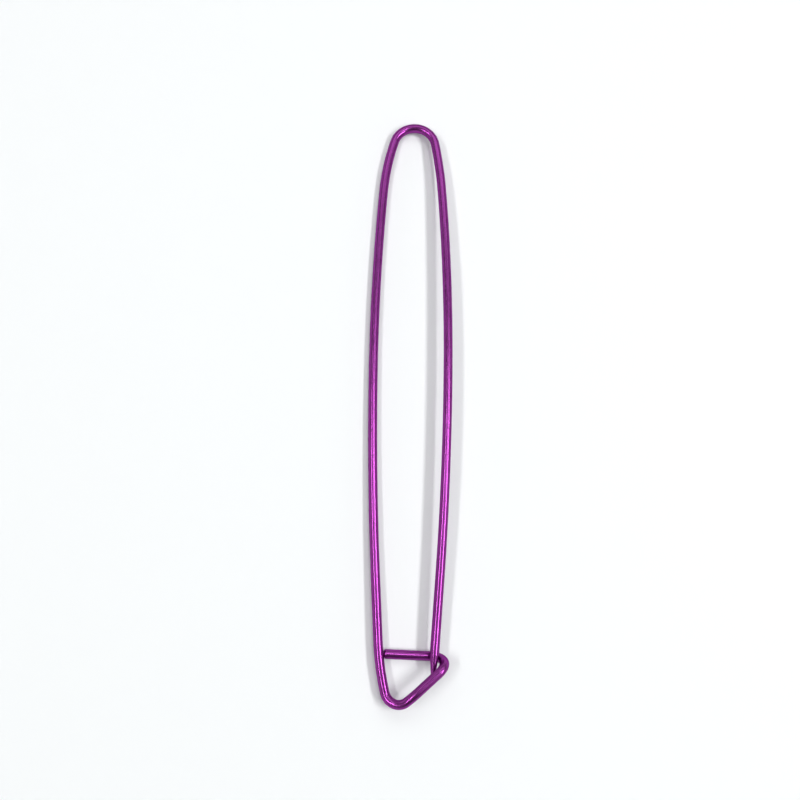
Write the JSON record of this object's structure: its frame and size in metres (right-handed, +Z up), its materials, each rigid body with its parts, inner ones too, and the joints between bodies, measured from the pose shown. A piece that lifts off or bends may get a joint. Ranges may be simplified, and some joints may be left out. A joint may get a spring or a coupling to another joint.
{
  "type": "stitch holder",
  "caption": "Long holder bent from one wire like a safety pin: a sprung, tapered pin carries open knitting stitches and hooks under a slanted guard over a cross bar.",
  "frame": {"origin": "on the table it lies on, under the middle of its outline", "axes": "+Y along its length towards the sprung bow, +X towards the pin, +Z up off the table"},
  "size_m": [0.0274, 0.1974, 0.0086],
  "materials": {
    "anodised_wire": "satin purple anodising"
  },
  "bodies": {
    "holder": {"spring_bow": "anodised_wire", "spine_shoulder": "anodised_wire", "spine_upper_arm": "anodised_wire", "spine_lower_arm": "anodised_wire", "spine_shank": "anodised_wire", "spine_foot": "anodised_wire", "heel_bend": "anodised_wire", "guard_bend": "anodised_wire", "guard_bar": "anodised_wire", "catch_top_bend": "anodised_wire", "catch_foot_bend": "anodised_wire", "cross_bar": "anodised_wire"},
    "pin": {"pin_shoulder": "anodised_wire", "pin_upper_arm": "anodised_wire", "pin_lower_arm": "anodised_wire", "pin_shaft": "anodised_wire", "pin_tip": "anodised_wire"}
  },
  "joints": [
    {"name": "pin_release", "type": "hinge", "parent": "holder", "child": "pin", "pos_m": [0.00048, 0.08979, 0.00264], "axis": [-0.1045, 0, -0.9945], "range_deg": [0, 8], "stiffness_Nm_per_rad": 2.4, "springref_deg": -2.86, "deforming": ["spring_bow"]}
  ]
}
